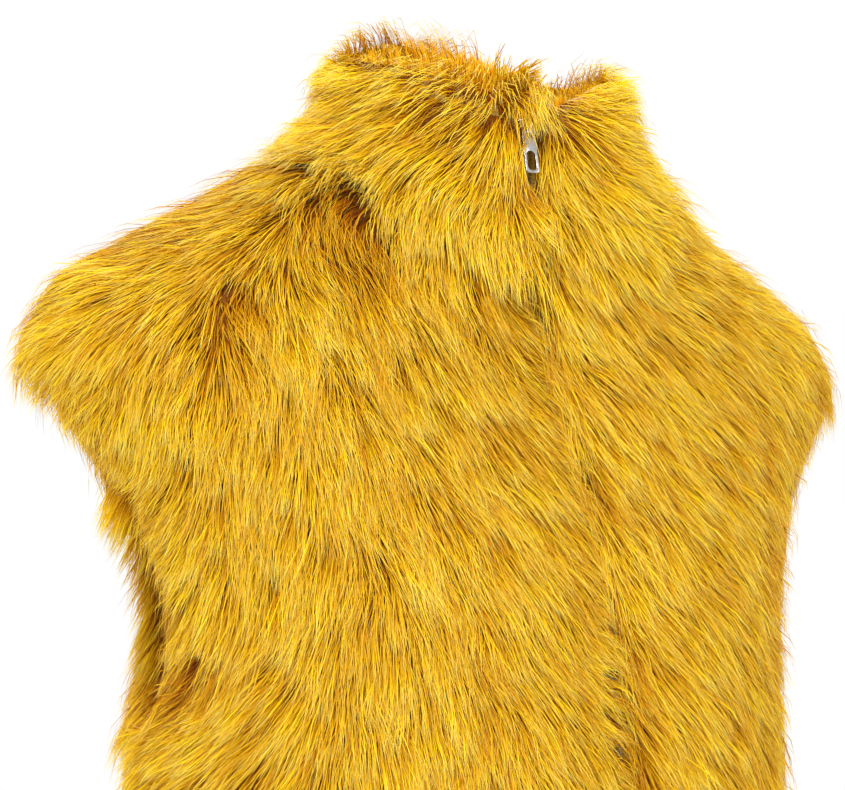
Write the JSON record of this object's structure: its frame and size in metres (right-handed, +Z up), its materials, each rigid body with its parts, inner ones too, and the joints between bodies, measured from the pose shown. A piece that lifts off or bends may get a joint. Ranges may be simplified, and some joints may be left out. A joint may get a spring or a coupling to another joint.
{
  "type": "faux fur vest (zip-fronted long-pile gilet)",
  "caption": "Sleeveless funnel-necked vest of golden long-pile faux fur, closed by a front zip with a metal pull tab, in its hollow worn shape.",
  "frame": {"origin": "midway between the two shoulder seams at the base of the neck, where a wearer holds the vest up", "axes": "+Z up, -Y out of the front, +X to the vest's own left side"},
  "size_m": [0.512, 0.3288, 0.7269],
  "materials": {
    "fur": "long-pile faux fur, golden yellow, paler tips and brown-orange roots",
    "inner_fur": "faux fur facing of the collar",
    "zip_tape": "woven polyester tape",
    "zip_metal": "polished nickel-plated zip metal"
  },
  "bodies": {
    "garment": {"front_right": "fur", "front_left": "fur", "back": "fur", "collar_outer": "fur", "collar_inner": "inner_fur", "zip_tape_right": "zip_tape", "zip_tape_left": "zip_tape", "zip_chain": "zip_metal", "zip_slider": "zip_metal", "zip_box": "zip_metal"},
    "pull_tab": {"zip_pull": "zip_metal"}
  },
  "joints": [
    {"name": "pull_tab_hinge", "type": "hinge", "parent": "garment", "child": "pull_tab", "pos_m": [-0.00878, -0.09236, 0.04154], "axis": [-0.994, 0.1086, 0.0143], "range_deg": [0, 140]}
  ]
}
